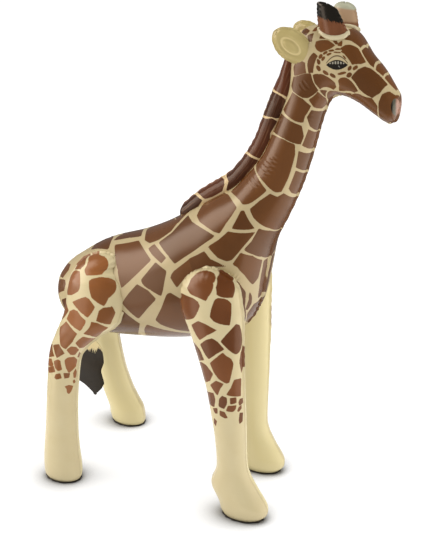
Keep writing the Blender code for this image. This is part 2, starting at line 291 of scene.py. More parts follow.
# Brown patches of the coat as printed on the right panel, each by its corners in the picture. A
# corner past the outline lies that much further round. The left panel is printed as its mirror.
# Each row is one patch: x and y of its first corner in pixels, then of the next.
TRUNK_PATCHES = (
    (115, 245, 138.5, 240.5, 150.5, 260, 133, 277, 121.5, 288, 118, 270),
    (114, 240, 121, 234, 143, 222, 141, 236, 130, 237.5),
    (145, 240, 147, 230, 150, 216, 178, 206, 174, 219, 178, 222, 171, 231, 159, 239.5, 150, 243),
    (175.5, 217, 174, 204, 203, 200, 190, 211, 178, 223),
    (148.5, 248.5, 154, 244.5, 166, 258, 161.5, 263, 152, 254),
    (159, 242.5, 172, 233, 188, 215.5, 192, 222, 214.5, 236.5, 200, 246, 184, 257, 175, 263.5, 168, 255),
    (141, 280, 155.5, 262.5, 166, 271.5, 163, 290, 161, 296, 150, 289.5, 143.5, 285),
    (137, 284.5, 148, 291, 155.5, 299, 147, 308, 138.5, 318.5, 129, 310.5, 122.5, 303, 127, 295.5),
    (167, 294.5, 170, 293, 182, 300, 194, 331.5, 178, 330, 161, 324.5, 156, 320, 162, 308),
    (116, 309, 121, 309.5, 131, 317.5, 139.5, 323.5, 137, 345, 108, 345),
    (144.5, 329, 147, 324.5, 163, 329.5, 190, 333.5, 190, 346, 148, 348),
    (170.5, 277, 173, 272, 191, 258, 197, 268, 186, 275.5, 177, 287.5),
    (189, 259, 204, 251.5, 210, 259.5, 227, 266.8, 206, 265.5, 193, 270),
    (208.5, 247, 218, 240.5, 228, 232, 255, 232.3, 242, 247.5, 231, 260, 226.5, 261, 218, 257.5),
    (232, 228.2, 241, 211, 244, 211, 254.5, 228.2),
    (197, 215.5, 208, 199.5, 222, 193, 228, 195, 236.5, 207.5, 226, 223, 219.5, 233, 214, 231.5, 200, 221.5),
    (231, 191.5, 242, 180, 254, 167.5, 258, 178, 266.3, 190.5, 252, 202, 247.5, 204, 243, 204, 240, 200),
    (250, 209.5, 260, 201, 270, 193.8, 277, 197.5, 284, 193.5, 300, 196, 302, 202, 285, 227, 270, 227.5, 261,
     224, 254, 218),
    (244, 249.7, 252, 241, 259, 229, 270, 231, 284, 229, 272, 255.5, 262, 256, 253, 254),
    (232.5, 264.5, 240.5, 253, 252, 256, 262, 260, 258, 278, 253, 284, 245, 275, 237, 266.5),
    (264, 261, 267.5, 258.5, 266, 290, 258, 298, 260.5, 280),
    (236.4, 281, 239, 283, 242, 288, 245.2, 291.5, 245.4, 298, 244.2, 306, 245.6, 314, 244.5, 322, 240.6, 320,
     239.8, 304, 239.6, 292, 236.6, 288),
    (249.6, 292.5, 251.8, 297, 251, 304, 247.6, 309.6, 245.8, 309, 249, 300),
    (249.6, 310.5, 254, 304, 262.6, 298, 265, 303, 262, 308, 257, 312, 254, 318, 250.5, 323, 246.6, 321,
     247.6, 313),
    (61, 276, 55, 266, 64, 262, 70.5, 265, 68.5, 270, 63, 277.5),
    (50, 281, 65, 280.5, 65.5, 285, 64, 290.5, 54, 296),
    (91.5, 249.5, 95, 240, 107, 233, 113.5, 237, 110, 244, 108.5, 249.5),
    (62, 300, 86, 296, 92, 316, 74, 322),
    (88, 290, 106, 284, 110, 306, 98, 312),
    (84, 322, 104, 316, 104, 340, 88, 346),
    (110, 352, 136, 351, 134, 372, 112, 370),
    (148, 355, 188, 353, 184, 374, 152, 376),
    (116, 378, 142, 381, 138, 404, 118, 402),
    (152, 384, 186, 380, 182, 404, 154, 408),
    (198, 300, 222, 294, 226, 316, 204, 326),
)
NECK_PATCHES = (
    (271.5, 134.3, 284, 140, 294.5, 144.5, 294.5, 155, 288, 178, 281, 191.7, 275, 192, 264, 182, 256.5, 170,
     257, 163, 265, 151),
    (299, 151, 320, 150.5, 314, 169.5, 296, 167),
    (296, 170.5, 312, 173, 304, 188, 298.5, 193, 292, 192, 289, 188),
    (281.5, 113.5, 290, 121, 301.5, 126, 303.5, 137, 300.5, 144, 284, 138, 273, 131, 276, 124),
    (308.5, 129.7, 314, 132.5, 323, 130, 319, 146.5, 306, 147.5, 302.5, 145),
    (307, 117.5, 311.5, 110.5, 318, 111.5, 329, 109.5, 324, 127.5, 317, 129.7, 310, 126),
    (292.5, 92.5, 303, 99.5, 310.5, 106, 304.5, 116, 303, 122, 296, 121, 286, 114, 283.5, 109.5),
    (293.5, 77.5, 306, 74, 311, 74.5, 313, 82, 318, 90, 308, 97.5, 303, 97.5, 293, 91, 291.5, 86),
    (309, 100, 318, 92, 325.5, 98, 327, 104, 322, 108, 314, 107),
    (320, 90.8, 327, 90.8, 325.5, 96.8),
    (328.6, 92, 334, 91.4, 342, 92.8, 351, 93.8, 352, 97, 342, 98, 334, 100, 328, 106, 327.5, 98),
)
HEAD_PATCHES = (
    (315.5, 46.5, 316.5, 42, 320, 40.5, 328, 40.5, 334.6, 45.2, 330.4, 48.2, 320.6, 52.2, 317, 49.6),
    (314, 53, 317.2, 56, 314.2, 64, 312.8, 72.2, 308.6, 72.6, 307.6, 63),
    (297, 61, 305, 63, 306, 72.7, 294.3, 75.4, 293.6, 68),
    (313, 75.5, 319, 74.2, 330, 78.7, 334.8, 82.6, 336, 87, 333.4, 89.6, 320, 88.8, 315, 83),
    (338.6, 80.6, 341.4, 77.9, 346, 78.2, 357.8, 90.5, 354, 92.4, 339.4, 90.6, 339.6, 86),
    (351.3, 78, 358.5, 70.2, 365, 67, 371, 69, 387.3, 84.5, 380, 92.3, 372, 97.3, 359, 88.5),
    (341, 48.5, 345, 45.7, 353, 46, 358.5, 49, 365.8, 61.7, 361, 63.2, 352, 64.2, 345, 54.5),
    (345, 39.5, 348, 30.5, 358, 24, 366, 30, 373, 44.5, 370, 45, 366.4, 43.8, 363, 44.8, 360.4, 47.2, 354,
     42.3),
    (361.8, 51.5, 363.6, 49.2, 366.3, 47.6, 369, 48.6, 374, 50, 383, 59, 379.5, 59.2, 376, 60.8, 374, 64,
     373.4, 67, 370, 64.5),
    (376.2, 70, 376.6, 66.6, 378.2, 64.4, 381, 63.6, 384, 64.4, 392, 72, 387.5, 71.6, 384.6, 73, 382.8, 75.6),
    (385.2, 78.4, 386.2, 76.6, 388.6, 75.6, 391, 76.6, 395, 77, 400, 84.5, 396, 90, 391, 85),
    (379, 103, 382, 95.5, 390, 92.3, 396, 96.5, 404, 104, 404, 119, 396, 125, 387, 125, 380.5, 119),
    (352, 95, 361, 95.3, 372, 98.7, 377.3, 106, 377.9, 119, 366, 122, 354, 112, 351, 99),
    (304, 28.5, 309.5, 31, 306, 35, 302.5, 32.5),
    (313, 31, 318, 26.3, 320.5, 27.2, 315.5, 31.3),
    (308, 35.5, 313.5, 33.5, 311.3, 41.3, 309.3, 41.3),
    (320, 38.5, 321.5, 34.8, 325.5, 38.7),
    (333, 41, 336.5, 41, 337.8, 43.8, 336, 44),
    (338.5, 43.5, 342, 41, 341.5, 46, 338, 45.5),
)
# Small flecks round the eye: middle, half length, half width and tilt down to the right, in pixels
# and degrees
EYE_FLECKS = (
    (320.6, 56.4, 2.5, 1.3, -60), (325.2, 52.9, 2.4, 0.8, -32), (331.4, 50.6, 2.6, 0.6, -12), (329, 54.2, 2.4, 0.7, -25),
    (338, 49.2, 3, 0.5, -2), (337.2, 52.4, 3.4, 0.4, 3), (343, 52.4, 2.2, 0.4, 32), (344.4, 57.2, 2.4, 0.4, 48),
    (318.6, 61.9, 2.7, 1.3, 75), (323.2, 58.7, 2.3, 0.9, -55), (318.4, 68.2, 3, 1.6, 60), (325.6, 72.8, 3.1, 1.6, 35),
    (332.8, 75.6, 3.1, 1.5, 28), (341.8, 73.4, 4.2, 0.9, -12), (349.2, 75, 2.9, 1.7, -35), (349.6, 68.2, 2.8, 1.2, -50),
    (355.2, 67.8, 3, 1.1, -35),
)
# Soft creases in the film: middle, way along the crease, spacing, how many, half length, depth
BODY_CREASES = (
    ((269, 166), (14, 9), 4.6, 6, 9, 0.0005), ((254, 182), (8, 10), 4.2, 4, 8, 0.0004),
    ((322, 94), (8, 9), 2.4, 4, 6, 0.0004), ((305, 86), (8, 10), 4.6, 3, 7, 0.0005),
    ((252, 150), (10, 9), 6.0, 3, 7, 0.0004), ((233, 280), (9, -7), 3.6, 5, 8, 0.0005),
    ((309, 118), (9, 3), 5.0, 3, 6, 0.0003), ((92, 247), (6, 10), 3.0, 6, 7, 0.0005),
)
PATCH_ROUNDING = 0.0011
TRUNK_BLEED, NECK_BLEED, HEAD_BLEED, MANE_BLEED, LEG_BLEED = 0.0009, 0.0008, 0.0008, 0.0010, 0.0005
PRINT_REACH = 0.008
# Where the chest weld lies: height and reach. Rump: how far along the body, and its lowest height.
CHEST_SEAM, RUMP_GATHERS = (0.385, 0.032), (0.13, 0.34)
# Welds stand this high over the film. Gathers beside them: spacing, reach from the weld, depth.
BODY_RIM, BODY_PUCKERS = 0.0022, (0.016, 0.012, 0.00035)
CHEST_PUCKERS, RUMP_PUCKERS = (0.0095, 0.009, 0.0016), (0.0085, 0.02, 0.0011)
INKS = 6
INK_TONES = (0.15, 0.85, 0.45, 0.65, 0.3, 1.0)
PRINT_LAYERS = ("print_a", "print_b")


def flow(rows, places):
    """Rows of numbers read at places between them, on one smooth curve."""
    rows = np.array(rows, float)
    padded = np.vstack([2 * rows[0] - rows[1], rows, 2 * rows[-1] - rows[-2]])
    start = np.clip(places.astype(int), 0, len(rows) - 2)
    t = (places - start)[:, None]
    a, b, c, d = (padded[start + k] for k in range(4))
    return b + ((c - a) * t + (2 * a - 5 * b + 4 * c - d) * t**2 + (3 * b - a - 3 * c + d) * t**3) / 2


def ease(rows, passes):
    """The same rows with their corners eased, so that gloss runs over them without a kink."""
    for _ in range(passes):
        rows[1:-1] += (rows[:-2] - 2 * rows[1:-1] + rows[2:]) / 4
    return rows


def dome(row, pole, count):
    """Slices from a full one to a pole, as a round end: centre x, y, z, half vectors, boxiness."""
    angles = np.linspace(0, math.pi / 2, count + 1)[1:-1, None]
    middle = row[:3] + (np.array(pole) - row[:3]) * np.sin(angles)
    shrunk = row[3:9] * np.cos(angles)
    return np.hstack([middle, shrunk, np.full((len(angles), 1), row[9])])


def seam_angles(widths, columns, seams):
    """Where the columns lie round each slice, packed beside the welds at angle 0 and half a turn."""
    steps, zero, none = np.array(SEAM_STEPS) / widths[:, None], np.zeros((len(widths), 1)), np.empty((len(widths), 0))
    first = steps if seams[0] else none
    last = math.pi - steps[:, ::-1] if seams[1] else none
    low = first[:, -1:] if seams[0] else zero
    high = last[:, :1] if seams[1] else zero + math.pi
    spare = columns // 2 - 1 - first.shape[1] - last.shape[1]
    between = low + (high - low) * (np.arange(spare) + 1) / (spare + 1)
    side = np.hstack([first, between, last])
    return np.hstack([zero, side, zero + math.pi, 2 * math.pi - side[:, ::-1]])


def skin(slices, angles):
    """The grid of points that slices and angles give: one row for each slice, closed round it."""
    centre, across, side, boxiness = slices[:, None, :3], slices[:, None, 3:6], slices[:, None, 6:9], slices[:, 9:]
    c, s = np.cos(angles), np.sin(angles)
    reach_c = np.sign(c) * np.abs(c) ** (2 / boxiness)
    reach_s = np.sign(s) * np.abs(s) ** (2 / boxiness)
    return centre + across * reach_c[..., None] + side * reach_s[..., None]


def outward(grid):
    """Unit vectors that stand square on a grid of points, away from the middle of its slices."""
    way_round = np.roll(grid, -1, 1) - np.roll(grid, 1, 1)
    way_along = np.gradient(grid, axis=0)
    normal = np.cross(way_round, way_along)
    normal /= np.linalg.norm(normal, axis=-1, keepdims=True) + 1e-12
    out = (normal * (grid - grid.mean(1, keepdims=True))).sum(-1)
    return normal * np.sign(np.median(out))


def film_places(grid):
    """How far along the piece and how far round from its first column each point lies, in metres."""
    middle = grid.mean(1)
    along = np.concatenate([[0], np.cumsum(np.linalg.norm(np.diff(middle, axis=0), axis=-1))])
    half = grid.shape[1] // 2
    steps = np.linalg.norm(np.diff(grid[:, :half + 1], axis=1), axis=-1)
    round_half = np.hstack([np.zeros((len(grid), 1)), np.cumsum(steps, 1)])
    both = np.hstack([round_half, round_half[:, -2:0:-1]])
    return np.stack([np.broadcast_to(along[:, None], both.shape), both], -1)


def cover(slices, columns, least=0.0, seams=(True, True)):
    """The film over slices: its grid, outward vectors, places on the film and angles round it."""
    widths = np.maximum(np.linalg.norm(slices[:, 6:9], axis=1), least)
    angles = seam_angles(widths, columns, seams)
    grid = skin(slices, angles)
    return grid, outward(grid), film_places(grid), angles


def print_finder(grid, normals, places, printed):
    """A function that finds the place on the film under a pixel, from what the camera sees of it."""
    view = np.array(CAMERA_PLACE) - grid
    seen = ((normals * view).sum(-1) > 0) & printed
    spots, pixels = places[seen], in_picture(grid[seen])
    tree = KDTree(len(pixels))
    for index, (x, y) in enumerate(pixels):
        tree.insert((x, y, 0), index)
    tree.balance()

    def find(pixel):
        near = tree.find_n((*pixel, 0), 4)
        weights = np.array([1 / (gap + 0.05) for _, _, gap in near])
        spot = (spots[[index for _, index, _ in near]] * weights[:, None]).sum(0) / weights.sum()
        edge, index, gap = near[0]
        if gap > 1.6:
            inner = edge + (edge - Vector((*pixel, 0))).normalized() * 4
            way = spots[index] - spots[tree.find(inner)[1]]
            spot = spots[index] + way / (np.linalg.norm(way) + 1e-9) * gap * PIXEL_ON_COAT
        return spot

    return find


def trace(find, patches):
    """The patches' corners on the film, from their corners in the picture."""
    return [[find(corner) for corner in np.reshape(np.array(patch, float), (-1, 2))] for patch in patches]


def sort_patches(patches):
    """Shares the patches out among the inks so that patches of one ink lie well apart."""
    inks, outlines = [[] for _ in range(INKS)], [[] for _ in range(INKS)]
    for corners in patches:
        ring = np.array(corners)
        edges = np.linspace(ring, np.roll(ring, -1, 0), 5)[:-1].reshape(-1, 2)
        clear = [
            min((np.hypot(*(edges[:, None] - other[None]).T).min() for other in held), default=9)
            for held in outlines
        ]
        best = int(np.argmax(clear))
        inks[best].append(ring)
        outlines[best].append(edges)
    return inks


def patch_depth(places, patches, bleed):
    """How deep each place on the film lies in each ink's patches, which bleed a little, in metres."""
    depth = np.full((*places.shape[:-1], INKS), -PRINT_REACH)
    for ink, rings in enumerate(sort_patches(patches)):
        for ring in rings:
            near = ((places > ring.min(0) - PRINT_REACH) & (places < ring.max(0) + PRINT_REACH)).all(-1)
            spot = places[near][:, None, :]
            start, edge = ring, np.roll(ring, -1, 0) - ring
            share = np.clip(((spot - start) * edge).sum(-1) / (edge**2).sum(-1), 0, 1)
            gap = np.linalg.norm(spot - start - edge * share[..., None], axis=-1)
            up = (start[:, 1] > spot[..., 1]) != (start[:, 1] + edge[:, 1] > spot[..., 1])
            crossing = start[:, 0] + edge[:, 0] * (spot[..., 1] - start[:, 1]) / (edge[:, 1] + 1e-12)
            inside = (up & (spot[..., 0] < crossing)).sum(-1) % 2 == 1
            size = math.sqrt(np.ptp(ring[:, 0]) * np.ptp(ring[:, 1]))
            rounding = min(PATCH_ROUNDING, size * 0.06)
            soft = -rounding * np.log(np.exp(-gap / rounding).sum(-1)) + bleed
            value = np.where(inside, soft, bleed - gap.min(-1))
            depth[near, ink] = np.maximum(depth[near, ink], value)
    return dict(zip(PRINT_LAYERS, (depth[..., :3], depth[..., 3:])))


def fleck(x, y, length, width, tilt):
    """Corners of one small printed fleck, in pixels."""
    turn = math.radians(tilt)
    corners = []
    for step in range(8):
        a = 2 * math.pi * step / 8
        u, v = length * math.cos(a), width * math.sin(a)
        corners.append(x + u * math.cos(turn) - v * math.sin(turn))
        corners.append(y + u * math.sin(turn) + v * math.cos(turn))
    return corners


def creases(mix, x, y, folds):
    """Heights of soft parallel creases in the film, in metres, at pixel x, y of the picture."""
    height = 0.0
    for middle, way, spacing, count, reach, depth in folds:
        size = math.hypot(*way)
        cos, sin = way[0] / size, way[1] / size
        along = (x - middle[0]) * cos + (y - middle[1]) * sin
        cross = (y - middle[1]) * cos - (x - middle[0]) * sin
        bend = cross + along * along * 0.02
        window = mix.step((along / reach) ** 2 + (cross / (spacing * count / 2)) ** 2, 1.0, 0.0)
        height = window * (bend * (2 * math.pi / spacing)).wave() * depth + height
    return height


def weld(distance, rim, thickness=0.0007, groove=0.4):
    """Height of the film at a distance from a weld: a thin rim with a groove on either side."""
    wall = np.clip((thickness * 1.7 - distance) / (thickness * 0.7), 0, 1)
    dip = -groove * np.exp(-((distance - thickness) / 0.004) ** 2) * (distance > thickness)
    return rim * (wall + dip * (1 - wall))


def rim_gap(places):
    """How far each place on the film lies from the nearer of the two welds along the piece."""
    half = places.shape[1] // 2
    return np.minimum(places[..., 1], places[:, half:half + 1, 1] - places[..., 1])


def puckers(along, distance, spacing, reach, depth):
    """Small gathers that run square to a weld and die away from it."""
    phase = 2 * math.pi * along / spacing + 1.7 * np.sin(2 * math.pi * along / (spacing * 5.3))
    return depth * (np.cos(phase) - 0.35) * np.exp(-distance / reach)


def wrap(name, grid, poles, attributes=None):
    """A closed piece: the rings and meridians of a sphere laid over a grid of points."""
    rows, columns = grid.shape[:2]
    bm = bmesh.new()
    bmesh.ops.create_uvsphere(bm, u_segments=columns, v_segments=rows + 1, radius=1)
    ball = np.array([vert.co for vert in bm.verts])
    row = np.rint(np.arccos(np.clip(ball[:, 2], -1, 1)) / math.pi * (rows + 1)).astype(int) - 1
    column = np.rint(np.arctan2(ball[:, 1], ball[:, 0]) / (2 * math.pi) * columns).astype(int) % columns
    nearest = np.clip(row, 0, rows - 1)
    spots = grid[nearest, column]
    spots[row < 0], spots[row >= rows] = poles
    for vert, spot in zip(bm.verts, spots):
        vert.co = spot
    if bm.calc_volume(signed=True) < 0:
        bmesh.ops.reverse_faces(bm, faces=bm.faces)
    piece = settle(name, bm)
    piece.data.shade_smooth()
    for key, values in (attributes or {}).items():
        kind = "FLOAT" if values.ndim == 2 else "FLOAT_VECTOR"
        data = piece.data.attributes.new(key, kind, "POINT").data
        spread = values[nearest, column].astype(np.float32).ravel()
        data.foreach_set("value" if kind == "FLOAT" else "vector", spread)
    return piece


def attach(piece, node, material):
    """Hangs a finished piece on the giraffe in place of its plain solid."""
    piece.data.materials.append(material)
    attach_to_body(piece, "root")
    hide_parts(node)


def place(x, offset, z):
    """A point in drawing units as a place in the scene."""
    return np.array(MIDDLE) + np.array((x, offset, z)) * UNIT


def points(x, y, z):
    """Rows of x, y, z in drawing units as rows in metres."""
    return np.stack(np.broadcast_arrays(x, y, z), -1) * UNIT


def body_slices():
    """The body's slices, eased, with both round ends."""
    rump, middle, muzzle = BODY_ROWS
    share = np.linspace(0, 1, middle)
    packed = share + HEAD_PACKING * share * (1 - share)
    rows = flow(BODY_STATIONS, packed * (len(BODY_STATIONS) - 1))
    front, back = points(rows[:, 0], 0.0, rows[:, 1]), points(rows[:, 2], 0.0, rows[:, 3])
    side = points(0.0, rows[:, 4], 0.0)
    slices = np.hstack([np.array(MIDDLE) + (front + back) / 2, (back - front) / 2, side, rows[:, 5:]])
    rump_pole = place(RUMP_POLE[0], 0, RUMP_POLE[1])
    muzzle_pole = place(MUZZLE_POLE[0], 0, MUZZLE_POLE[1])
    slices = np.vstack([dome(slices[0], rump_pole, rump)[::-1], slices, dome(slices[-1], muzzle_pole, muzzle)])
    return ease(slices, 24), (rump_pole, muzzle_pole)


def printed_vinyl(name, cream, brown, deep, roughness=0.27):
    """Cream film with brown patches, whose edges bleed a little, under a clear gloss."""
    mix = Mixer(name, roughness)
    bleed = (mix.noise(420, 3) - 0.5) * 0.8
    patch, tone = 0.0, 0.0
    for ink in range(INKS):
        if ink % 3 == 0:
            fields = mix.split(mix.attribute(PRINT_LAYERS[ink // 3], "Vector"))
        mask = mix.step(fields[ink % 3] * 1000 + bleed, -0.4, 0.4)
        patch = mask.most(patch)
        tone = mask * INK_TONES[ink] + tone
    cloud = mix.noise(14, 2)
    coat = mix.blend(mix.step(cloud * 0.7 + tone * 0.4, 0.25, 0.85), brown, deep)
    pale = mix.blend(mix.noise(30, 3), cream, tuple(c * k for c, k in zip(cream, (0.93, 0.9, 0.84, 1))))
    return mix, mix.blend(patch, pale, coat), patch


slices, poles = body_slices()
body_grid, body_normals, body_places, body_angles = cover(slices, BODY_COLUMNS, seams=(False, True))
mirrored = body_grid.copy()
mirrored[..., 1] = MIDDLE.y - np.abs(mirrored[..., 1] - MIDDLE.y)
near_side = np.broadcast_to(np.sin(body_angles) <= 1e-6, body_angles.shape)
find_body = print_finder(body_grid, body_normals, body_places, near_side)
flecks = [fleck(*values) for values in EYE_FLECKS]
coat_print = {}
for patches, bleed in (
    (TRUNK_PATCHES, TRUNK_BLEED), (NECK_PATCHES, NECK_BLEED), ([*HEAD_PATCHES, *flecks], HEAD_BLEED),
):
    part = patch_depth(body_places, trace(find_body, patches), bleed)
    for layer in PRINT_LAYERS:
        coat_print[layer] = np.maximum(part[layer], coat_print.get(layer, part[layer]))
from_seam = body_places[:, BODY_COLUMNS // 2:BODY_COLUMNS // 2 + 1, 1] - body_places[..., 1]
height = weld(from_seam, BODY_RIM)
chest = np.exp(-(((body_grid[..., 2] - CHEST_SEAM[0]) / CHEST_SEAM[1]) ** 2)) * (body_grid[..., 0] > 0)
height += puckers(body_places[..., 0], from_seam, *BODY_PUCKERS)
height += puckers(body_places[..., 0], from_seam, *CHEST_PUCKERS) * chest
rump = np.exp(-((body_places[..., 0] / RUMP_GATHERS[0]) ** 4)) * (body_grid[..., 2] > RUMP_GATHERS[1])
height += puckers(*np.moveaxis(body_places, -1, 0), *RUMP_PUCKERS) * rump
seat = body_grid.copy()
body = wrap(
    "body_bladder",
    body_grid + body_normals * height[..., None],
    poles,
    {**coat_print, "picture": np.concatenate([in_picture(mirrored), height[..., None]], -1)},
)

# The body's cream is a darker copy of the legs' cream: painted shade on the less lit trunk.
BODY_CREAM_SHADED, BROWN, DEEP_BROWN = srgb(178, 162, 126), srgb(98, 58, 24), srgb(82, 47, 16)
LID_LINE, EYE_BLACK = srgb(64, 44, 26), srgb(20, 18, 15)
LASH_GREY, GLINT_GREY = srgb(172, 166, 148), srgb(150, 150, 142)
NOSTRIL_DARK, NOSTRIL_OLIVE, NOSTRIL_GLOSS_PINK = srgb(14, 11, 7), srgb(76, 76, 64), srgb(152, 112, 94)
# The eye in pixels: middle, half length, how far the lids and the arc over them bulge, and the
# lashes' middle, lowest line, bend and pitch. The glint: middle and half height.
EYE_X, EYE_Y, EYE_HALF = 337, 65, 11.4
UPPER_LID, LOWER_LID, LASH_LINE, ARC_LINE = 5.4, 5.2, 4.2, 8.2
LASHES_X, LASHES_Y, LASHES_BEND, LASHES_PITCH = 337.5, 64.6, 16, 2.3
GLINT_X, GLINT_Y, GLINT_HALF = 339, 66.6, 1.7
# The nostril in pixels: middle, half sizes, and where its dark and its olive edge end. Past the olive it turns pink, a
# painted highlight.
NOSTRIL_X, NOSTRIL_Y, NOSTRIL_HALF = 395.6, 107, (4.7, 8.6)
NOSTRIL_EDGE, NOSTRIL_GLOSS_EDGE = (391.6, 393.6), (394.6, 397.6)

mix, coat, patch = printed_vinyl("coat_vinyl", BODY_CREAM_SHADED, BROWN, DEEP_BROWN)
x, y, _ = mix.split(mix.attribute("picture", "Vector"))
lid = 1 - ((x - EYE_X) / EYE_HALF) ** 2
almond = mix.step((y - EYE_Y + lid * UPPER_LID).least(EYE_Y - y + lid * LOWER_LID), 0, 0.7)
lashes = (y - EYE_Y + lid * LASH_LINE).least(LASHES_Y - y - ((x - EYE_X) / LASHES_BEND) ** 2)
lashes = mix.step(lashes, 0.0, 1.0) * mix.step(((x - LASHES_X) * LASHES_PITCH).wave(), -0.8, 0.6)
arc = mix.step((y - (EYE_Y - 1) + lid * ARC_LINE).size(), 1.0, 0.35) * mix.step(lid, 0.02, 0.2)
glint = ((x - GLINT_X) * 0.9 - (y - GLINT_Y) * 0.5).size() + ((y - GLINT_Y) / GLINT_HALF).size()
coat = mix.blend(arc * 0.85, coat, LID_LINE)
coat = mix.blend(almond, coat, EYE_BLACK)
coat = mix.blend(almond * lashes * 0.72, coat, LASH_GREY)
coat = mix.blend(almond * mix.step(glint, 1.0, 0.3) * 0.6, coat, GLINT_GREY)
nostril = ((x - NOSTRIL_X) / NOSTRIL_HALF[0]) ** 2 + ((y - NOSTRIL_Y) / NOSTRIL_HALF[1]) ** 2
nostril_ink_and_gloss = mix.blend(mix.step(x, *NOSTRIL_EDGE), NOSTRIL_DARK, NOSTRIL_OLIVE)
# Pink on the nostril's right side: a painted highlight.
nostril_ink_and_gloss = mix.blend(mix.step(x, *NOSTRIL_GLOSS_EDGE), nostril_ink_and_gloss, NOSTRIL_GLOSS_PINK)
coat = mix.blend(mix.step(nostril, 1.1, 0.85), coat, nostril_ink_and_gloss)
relief = creases(mix, x, y, BODY_CREASES) + mix.noise(60, 3) * 0.00006
attach(body, "body", mix.finish(coat, None, relief * 1000, 1.0))

body_tree = BVHTree.FromPolygons(
    [Vector(p) for p in seat.reshape(-1, 3)],
    [
        (r * BODY_COLUMNS + c, (r + 1) * BODY_COLUMNS + c,
         (r + 1) * BODY_COLUMNS + (c + 1) % BODY_COLUMNS, r * BODY_COLUMNS + (c + 1) % BODY_COLUMNS)
        for r in range(len(seat) - 1)
        for c in range(BODY_COLUMNS)
    ],
)

# Mane. A tube of dark brown film with cream cross bands, round at both ends, that lies along the
# back of the neck from the ears to the withers and is welded to it by a strip under it.
# Rows: body station, rise above the back line, sink below it, half width, in drawing units.
MANE_ROWS = (
    (6.0, 17, 14, 19), (7.0, 23, 16, 22), (8.5, 25, 16, 22), (10.0, 31, 16, 22),
    (11.5, 36, 16, 22), (13.0, 34, 17, 25), (14.0, 26, 20, 30), (15.4, 12, 18, 26),
)
MANE_END_LENGTH = 12
MANE_COLUMNS = 84
MANE_PATCHES = (
    (280, 56, 299, 58, 297, 78, 290, 98, 284, 94.5, 278.5, 92, 272, 87),
    (270, 91, 277, 94.5, 282, 97, 286, 100.5, 281, 117, 276, 118, 272, 116.6, 265, 115.3, 259, 112),
    (258, 116, 266, 119.3, 272, 119, 277, 121.5, 270, 133, 268, 150, 260, 157.8, 255, 156, 249, 152, 242,
     147),
    (241, 151, 248, 156, 258, 160.5, 247, 175, 232, 190, 227, 190, 229, 181, 226.5, 172, 220, 168),
    (219, 175, 224, 180, 224, 185, 222, 191, 212, 196.5, 205, 198.5, 200, 194, 194, 188),
    (190, 191, 202, 200.5, 198, 206, 186, 214, 172, 219, 172, 206),
)
ROOT_DEPTH = 0.0012
MANE_RIM, MANE_PUCKERS = 0.0012, (0.018, 0.01, 0.0005)


def seat_on(tree, grid, poles):
    """Draws what lies deep in the body up to just under its skin. Gives how far off each point is."""
    off = np.empty(grid.shape[:2])
    for r, c in np.ndindex(off.shape):
        spot, normal, _, gap = tree.find_nearest(Vector(grid[r, c]))
        off[r, c] = gap if (Vector(grid[r, c]) - spot).dot(normal) > 0 else -gap
        if off[r, c] < -ROOT_DEPTH:
            grid[r, c] = spot - normal * ROOT_DEPTH
    ends = []
    for pole in poles:
        spot, normal, _, gap = tree.find_nearest(Vector(pole))
        deep = (Vector(pole) - spot).dot(normal) < -ROOT_DEPTH
        ends.append(np.array(spot - normal * ROOT_DEPTH) if deep else np.array(pole))
    return off, ends


def blow_up(name, film, height, poles, facts, lowest=0.0):
    """Raises the film by its relief, seats it on the body and closes it, none of it below lowest."""
    grid = film[0] + film[1] * height[..., None]
    _, poles = seat_on(body_tree, grid, poles)
    grid[..., 2] = np.maximum(grid[..., 2], lowest)
    return wrap(name, grid, poles, facts)


def body_at(stations):
    """The body's own rows between its stations, on straight lines."""
    return np.stack([np.interp(stations, range(len(BODY_STATIONS)), column) for column in zip(*BODY_STATIONS)], -1)


def mane_slices():
    """The mane's slices along the back line, with both round ends."""
    rows = flow(MANE_ROWS, np.linspace(0, len(MANE_ROWS) - 1, 250))
    stations = np.clip(rows[:, 0], 0, len(BODY_STATIONS) - 1)
    body_rows = ease(body_at(stations), 60)
    front, back = points(body_rows[:, 0], 0.0, body_rows[:, 1]), points(body_rows[:, 2], 0.0, body_rows[:, 3])
    out = (back - front) / np.linalg.norm(back - front, axis=1, keepdims=True) * UNIT
    middle = back + out * ((rows[:, 1] - rows[:, 2]) / 2)[:, None]
    half = out * ((rows[:, 1] + rows[:, 2]) / 2)[:, None]
    side = points(0.0, rows[:, 3], 0.0)
    slices = np.hstack([np.array(MIDDLE) + middle, half, side, np.full((len(rows), 1), 2.0)])
    ends = []
    for end, inner in ((slices[0], slices[1]), (slices[-1], slices[-2])):
        way = (end[:3] - inner[:3]) / np.linalg.norm(end[:3] - inner[:3])
        ends.append(end[:3] + way * MANE_END_LENGTH * UNIT)
    slices = np.vstack([dome(slices[0], ends[0], 12)[::-1], slices, dome(slices[-1], ends[1], 12)])
    return ease(slices, 8), ends


slices, poles = mane_slices()
grid, normals, places, angles = cover(slices, MANE_COLUMNS)
find_mane = print_finder(grid, normals, places, np.sin(angles) <= 1e-6)
mane_print = patch_depth(places, trace(find_mane, MANE_PATCHES), MANE_BLEED)
height = weld(places[..., 1], MANE_RIM) + puckers(*np.moveaxis(places, -1, 0), *MANE_PUCKERS)
facts = {**mane_print, "along": places[..., 0], "around": places[..., 1]}
mane = blow_up("mane_tube", (grid, normals), height, poles, facts)
mane_inks = srgb(200, 176, 136), srgb(88, 46, 26), srgb(56, 28, 13)
mix, color, patch = printed_vinyl("mane_vinyl", *mane_inks, 0.2)
around = mix.attribute("around")
gloss_streaks = mix.node("ShaderNodeCombineXYZ", {}, (mix.attribute("along") * 14, around * 330, 0.0))
gloss_streaks = mix.noise(1.0, 3, 0.6, gloss_streaks)
